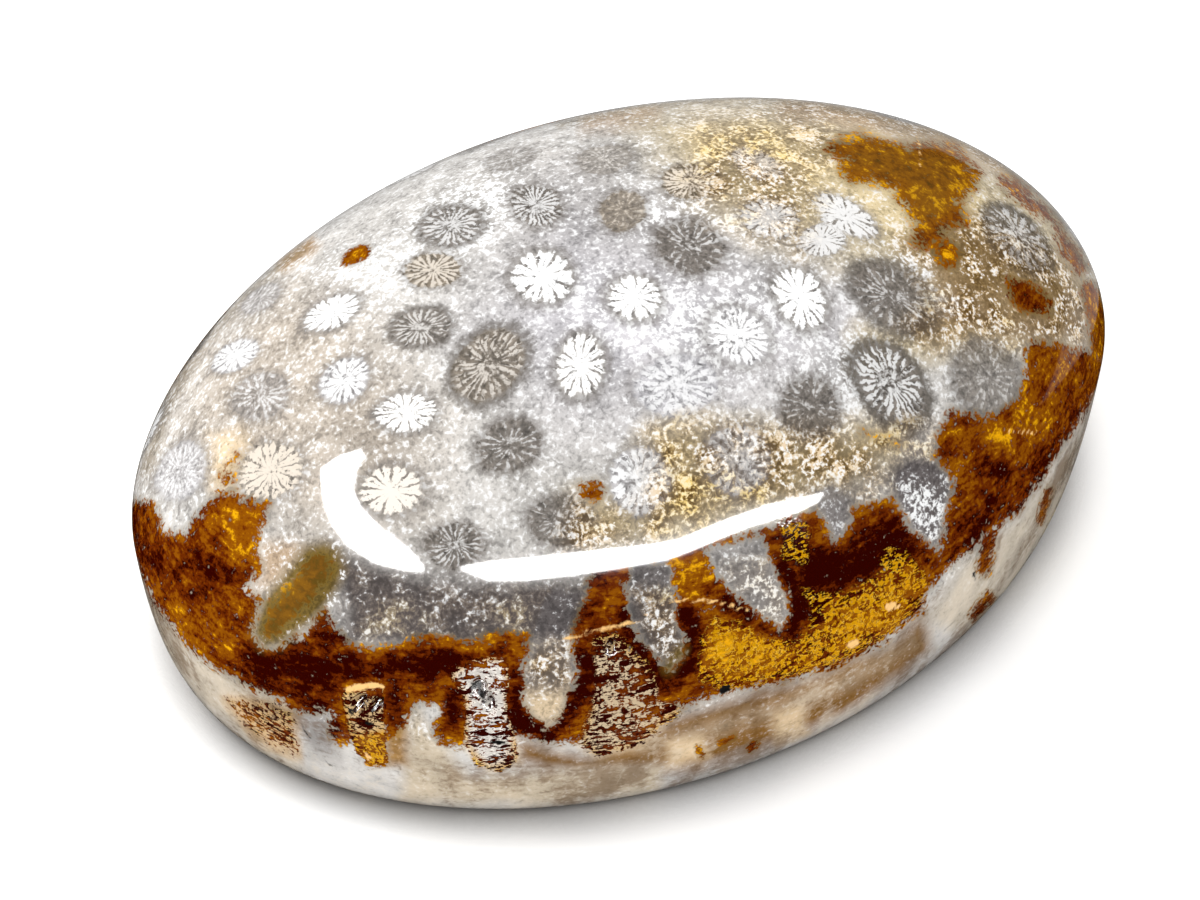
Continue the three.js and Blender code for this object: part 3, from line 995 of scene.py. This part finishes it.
def starWaves(grain, field):  # the spokes of the nearest corallite, long and short by turns
    angle = field["v"].turnFrom(field["u"]) + 0.06 * grain["crinkle"] + 0.1 * field["cloud"]
    turn = angle * field["count"] + field["number"]
    spokes = turn.cosine() + 0.4 * (turn * 0.5 + 1.3).cosine()
    reach = field["away"] + 0.06 * grain["crinkle"] + 0.04 * grain["fleck"] + 0.06 * field["cloud"]
    return spokes, reach


def groundLayer(graph, grain, field, spokes, reach):  # pale chalcedony, tinted, with fine white fibres
    colour = graph.blend(hue("chalcedony"), hue("lavender"), field["lavender"])
    for name in ("blush", "butter", "dusk", "pale", "tan", "slate", "cream", "olive"):
        colour = graph.blend(colour, hue(name), field[name])
    colour = graph.shade(colour, 1 + 0.12 * field["drift"] + 0.1 * field["cloud"])
    fibre = spokes * field["own"] * (1 - reach.ease(1.3, 2.6)) * (1 - field["side"]) * 0.3
    tone = 0.5 * grain["crinkle"] + 0.45 * grain["fleck"] + 0.7 * field["frost"] + fibre
    tone = (tone - 0.2 * field["slate"] + 0.2 * field["cloud"]) * (1 - 0.5 * field["side"])
    colour = graph.blend(graph.shade(colour, 0.6), colour, tone.ease(-1.0, 0.0))
    amount = 0.7 + 0.3 * field["frost"] - 0.3 * field["side"]
    return graph.blend(colour, hue("white"), tone.ease(0.1, 0.9) * amount)


def sideLayer(graph, grain, field, colour):  # below the ridge the columns show as faint upright streaks
    column = (1 - field["away"].ease(0.3, 1.1)) * (field["white"] - 0.4)
    tone = 0.32 * field["streak"] + 0.5 * column + 0.2 * grain["bar"] + 0.2 * grain["crinkle"]
    tone = tone + 0.5 * field["drift"]
    colour = graph.shade(colour, 1 - 0.02 * field["side"])
    dark = graph.blend(colour, hue("sideShade"), 0.55)
    light = graph.blend(colour, hue("sideLight"), 0.32)
    toned = graph.blend(graph.blend(dark, colour, tone.ease(-0.8, 0.1)), light, tone.ease(0.2, 0.9))
    return graph.blend(colour, toned, field["side"])


def speckLayer(graph, grain, field, colour):  # coarse grains, white to brown, at the edge of the stains
    tone = 0.7 * grain["crinkle"] + 0.5 * grain["fleck"] + 0.45 * field["cloud"] - 0.32 - 0.5 * field["tan"]
    light = graph.blend(hue("cream"), hue("white"), grain["fleck"].ease(-0.2, 0.8) * 0.85)
    light = graph.blend(light, hue("paleGold"), field["drift"].ease(0.1, 0.8) * 0.55)
    dark = graph.blend(hue("speckDeep"), hue("speckShade"), tone.ease(-0.9, -0.3))
    grains = graph.blend(dark, light, tone.ease(-0.45, 0.35))
    return graph.blend(colour, grains, field["speck"] * (0.75 + 0.3 * field["cloud"]))


def caliceLayer(graph, grain, field, colour, spokes, reach):  # a grey ring, a disc and its white septa
    shown = 1 - field["side"]
    ring = reach.ease(0.84, 1.06) * (1 - reach.ease(1.08, 1.48)) * (0.3 + 0.6 * field["ring"]) * shown
    ringColour = graph.blend(hue("ringShade"), hue("ringDeep"), field["ring"].ease(0.55, 0.95))
    colour = graph.blend(colour, ringColour, ring)
    faint = 0.5 + 0.42 * field["septa"].ease(0.0, 0.5)
    disc = graph.blend(hue("disc"), hue("warmDisc"), field["warm"].ease(0.2, 1.0) * 0.8)
    disc = graph.blend(disc, hue("coolDisc"), (0 - field["warm"]).ease(0.0, 0.5))
    disc = graph.blend(disc, hue("ringLight"), field["white"].ease(0.6, 1.0) * 0.5)
    disc = graph.shade(disc, 1 + 0.28 * grain["crinkle"] + 0.22 * grain["fleck"])
    colour = graph.blend(colour, disc, (1 - reach.ease(0.94, 1.12)) * shown * faint)
    edge = 0.7 - 1.75 * field["white"] + 0.25 * reach
    wide = (spokes + 0.4 * grain["crinkle"] + 0.35 * grain["fleck"]).ease(edge - 0.28, edge + 0.28)
    heart = 1 - reach.ease(0.2, 0.55)
    middle = (0.5 * grain["crinkle"] + 0.5 * grain["fleck"] + 1.5 * field["white"]).ease(0.1, 1.1)
    petal = wide * (1 - heart) + middle * heart
    tip = 1 - (reach - 0.06 * spokes).ease(0.88, 1.01)
    patchy = (0.6 * grain["crinkle"] + 1.7 * field["white"] + 0.5 * field["cloud"]).ease(-0.1, 1.0)
    strength = (0.5 + 0.5 * field["white"]) * (0.5 + 0.5 * field["septa"]) * patchy * shown
    septum = graph.blend(hue("white"), hue("cream"), field["warm"].ease(0.1, 1.0) * 0.9)
    return graph.blend(colour, septum, petal * tip * strength)


def stainTone(graph, tone):  # iron stain from deep rust to pale gold
    colour = graph.blend(hue("deepRust"), hue("rust"), tone.ease(-1.0, -0.4))
    colour = graph.blend(colour, hue("amber"), tone.ease(-0.45, 0.1))
    colour = graph.blend(colour, hue("gold"), tone.ease(0.2, 0.9))
    return graph.blend(colour, hue("paleGold"), tone.ease(1.0, 1.7))


def stainLayer(graph, grain, field, colour):
    tone = 0.26 * grain["crinkle"] + 0.34 * grain["bar"] + 0.14 * grain["fleck"] + 0.25 * field["cloud"]
    tone = tone + 0.3 * field["drift"] + 0.8 * field["gold"] - 0.95 * field["deep"] - 0.2
    bare = field["stain"].most(field["gold"])
    level = bare + (0.26 * grain["crinkle"] + 0.18 * grain["fleck"]) * bare.ease(0.0, 0.35)
    colour = graph.blend(colour, hue("olive"), level.ease(0.05, 0.5) * 0.5)
    stained = graph.blend(stainTone(graph, tone), hue("olive"), 0.55 * field["olive"])
    return graph.blend(colour, stained, level.ease(0.32, 0.66)), tone


def combLayer(graph, grain, field, colour, tone):  # open skeleton: bright bars and walls over dark gaps
    bars = grain["bar"].size() + 0.3 * grain["crinkle"]
    net = 0.48 * grain["crinkle"].size()
    level = bars + (net - bars) * field["gold"] * 0.85 + 0.3 * grain["fleck"]
    wall = 1 - (level + 0.03 * field["gold"] + 0.03 * field["cream"] - 0.25 * field["frost"]).ease(0.06, 0.4)
    glint = (grain["fleck"] + 0.5 * grain["crinkle"]).ease(-0.3, 0.7)
    bright = graph.blend(hue("gold"), hue("paleGold"), glint)
    pale = graph.blend(hue("cream"), hue("white"), field["frost"] * 0.75)
    bright = graph.blend(bright, pale, field["cream"])
    lit = (grain["crinkle"] + grain["fleck"]).ease(-0.9, 0.4)
    bright = graph.blend(graph.shade(bright, 0.7), bright, lit)
    gap = stainTone(graph, tone - 0.75 + 0.12 * field["gold"])
    frayed = (0.2 * grain["crinkle"] + 0.14 * grain["fleck"]) * field["comb"].ease(0.0, 0.35)
    mask = (field["comb"] + frayed).ease(0.36, 0.62)
    return graph.blend(colour, graph.blend(gap, bright, wall), mask), wall, mask


def stoneMaterial():
    material = bpy.data.materials.new("agatized_coral")
    material.use_nodes = True
    material.node_tree.nodes.clear()
    graph = Graph(material.node_tree)
    field = readFields(graph)
    grain = readGrains(graph)
    spokes, reach = starWaves(grain, field)
    colour = groundLayer(graph, grain, field, spokes, reach)
    colour = sideLayer(graph, grain, field, colour)
    colour = caliceLayer(graph, grain, field, colour, spokes, reach)
    colour = speckLayer(graph, grain, field, colour)
    colour, tone = stainLayer(graph, grain, field, colour)
    colour, wall, mask = combLayer(graph, grain, field, colour, tone)
    colour = graph.blend(colour, hue("vein"), (field["vein"] + 0.12 * grain["crinkle"]).ease(0.35, 0.7))
    # Pits are painted near black, painted shade in their hollows; the thin cracks and the dot on the side
    # take the same dark
    hole = (field["hole"] + 0.12 * grain["crinkle"]).ease(0.35, 0.65)
    colour = graph.blend(colour, hue("hole"), hole)
    rough = stoneLook["roughness"] + 0.1 * field["side"] + 0.04 * mask * (1 - wall) + 0.3 * hole
    bump = graph.node("ShaderNodeBump", None, {
        "Strength": stoneLook["bump"], "Distance": 0.0002, "Height": field["comb"] * grain["fleck"]})
    shader = graph.node("ShaderNodeBsdfPrincipled", None, {
        "Base Color": colour, "Roughness": rough, "Normal": bump, "IOR": 1.54})
    graph.node("ShaderNodeOutputMaterial", None, {"Surface": shader})
    return material


# Studio: white floor that glows, with a painted contact shadow round the stone, even soft light, a key from
# behind on the left, and strips that only show as gloss

studio = {
    "floorSize": 3.0,
    "floorColour": (0.93, 0.93, 0.93, 1.0),
    # the floor's painted contact shadow: its colour, the floor's glow and how far the shadow reaches
    "paintedShadowColour": (0.3, 0.29, 0.28, 1.0),
    "floorGlow": 0.35,
    "shadowReach": 0.0042,
    "skyStrength": 0.92,
    "keyPower": 2.9,
    "keySize": 0.35,
    "keyPlace": (-0.28, 0.34, 0.55),
    "stripDistance": 0.3,
    "stripStrength": 40.0,
    "farNear": 0.022,
    "farLift": 0.0005,
    "farReach": 0.4,
    "farWidth": 0.34,
    "farHeight": 0.06,
    "farStrength": 0.3,
}

# Outlines of the two highlights on the dome's shoulder, in the photograph's pixels
highlights = {
    "frontStrip": [(460, 565), (496, 560), (553, 555), (605, 549), (651, 544), (679, 539), (721, 521),
                   (767, 505), (824, 492), (819, 502), (798, 512), (752, 526), (721, 539), (686, 553),
                   (668, 560), (616, 569), (567, 576), (524, 581), (489, 581), (461, 570)],
    "leftStrip": [(321, 469), (339, 456), (361, 449), (365, 456), (356, 472), (354, 490), (361, 507),
                  (381, 528), (409, 549), (425, 567), (423, 572), (402, 570), (374, 563), (349, 546),
                  (332, 525), (323, 500)],
}


def smoothNormal(place, face):
    corners = list(faces[face])
    nearness = 1 / (np.linalg.norm(points[corners] - np.array(place), axis=1) + 1e-4)
    return Vector((normals[corners] * nearness[:, None]).sum(axis=0)).normalized()


def glossPanel(name, corners, strength):  # glows, but shows only as a reflection
    data = bpy.data.meshes.new(name)
    data.from_pydata(corners, [], [tuple(range(len(corners)))])
    panel = bpy.data.objects.new(name, data)
    bpy.context.collection.objects.link(panel)
    glow = bpy.data.materials.new(name + "Glow")
    glow.use_nodes = True
    glow.node_tree.nodes.clear()
    graph = Graph(glow.node_tree)
    light = graph.node("ShaderNodeEmission", None, {"Strength": strength})
    graph.node("ShaderNodeOutputMaterial", None, {"Surface": light})
    data.materials.append(glow)
    for ray in ("camera", "diffuse", "transmission", "volume_scatter", "shadow"):
        setattr(panel, "visible_" + ray, False)


def stripPanel(name, outline):  # a panel whose mirror image in the dome has this outline
    corners = []
    for x, y in outline:
        hit, _, face, _ = castPixel(x, y)
        bounced = rayThrough(x, y).reflect(smoothNormal(hit, face))
        corners.append(hit * mm + bounced * studio["stripDistance"])
    glossPanel(name, corners, studio["stripStrength"])


def farPanels():  # a pale floor and wall beyond the stone, so that its far rim doesn't mirror the dark
    right, _, back = cameraAxes()
    away = -Vector((back.x, back.y, 0)).normalized()
    half = right * studio["farWidth"] / 2
    near = away * studio["farNear"] + Vector((0, 0, studio["farLift"]))
    foot = away * studio["farReach"]
    top = foot + Vector((0, 0, studio["farHeight"]))
    glossPanel("farFloor", [near - half, near + half, foot + half, foot - half], studio["farStrength"])
    glossPanel("farWall", [foot - half, foot + half, top + half, top - half], studio["farStrength"])


def makeStudio():
    half = studio["floorSize"] / 2
    data = bpy.data.meshes.new("floor")
    corners = [(-half, -half, 0), (half, -half, 0), (half, half, 0), (-half, half, 0)]
    data.from_pydata(corners, [], [(0, 1, 2, 3)])
    floor = bpy.data.objects.new("floor", data)
    bpy.context.collection.objects.link(floor)
    paper = bpy.data.materials.new("floorPaper")
    paper.use_nodes = True
    paper.node_tree.nodes.clear()
    graph = Graph(paper.node_tree)
    # The floor's colour and glow go dark where ambient occlusion finds the stone close: a painted contact
    # shadow
    near = {"Distance": studio["shadowReach"]}
    free = graph.node("ShaderNodeAmbientOcclusion", {"samples": 6}, near, out="AO")
    glow = graph.blend((0, 0, 0, 1), (1, 1, 1, 1), free.ease(0.35, 0.85))
    floorWithPaintedShadow = graph.blend(studio["paintedShadowColour"], studio["floorColour"], free.ease(0.25, 0.85))
    sheet = graph.node("ShaderNodeBsdfPrincipled", None, {
        "Base Color": floorWithPaintedShadow, "Roughness": 0.9, "Specular IOR Level": 0.0,
        "Emission Color": glow, "Emission Strength": studio["floorGlow"]})
    graph.node("ShaderNodeOutputMaterial", None, {"Surface": sheet})
    data.materials.append(paper)
    floor.visible_glossy = False

    world = bpy.data.worlds.new("studioSky")
    bpy.context.scene.world = world
    world.use_nodes = True
    world.node_tree.nodes["Background"].inputs["Color"].default_value = (1, 1, 1, 1)
    world.node_tree.nodes["Background"].inputs["Strength"].default_value = studio["skyStrength"]
    world.cycles_visibility.glossy = False

    key = bpy.data.lights.new("key", "AREA")
    key.energy = studio["keyPower"]
    key.size = studio["keySize"]
    lamp = bpy.data.objects.new("key", key)
    lamp.location = studio["keyPlace"]
    lamp.rotation_euler = (-lamp.location).to_track_quat("-Z", "Y").to_euler()
    lamp.visible_glossy = False
    bpy.context.collection.objects.link(lamp)
    for name, outline in highlights.items():
        stripPanel(name, outline)
    farPanels()
    bpy.context.scene.view_settings.view_transform = "Standard"


piece = bpy.data.objects.new("coral_stone_polished", mesh)
bpy.context.collection.objects.link(piece)
mesh.materials.append(stoneMaterial())
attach(piece, "root")
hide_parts("coral_stone")
makeStudio()
print("stone finished and lit")
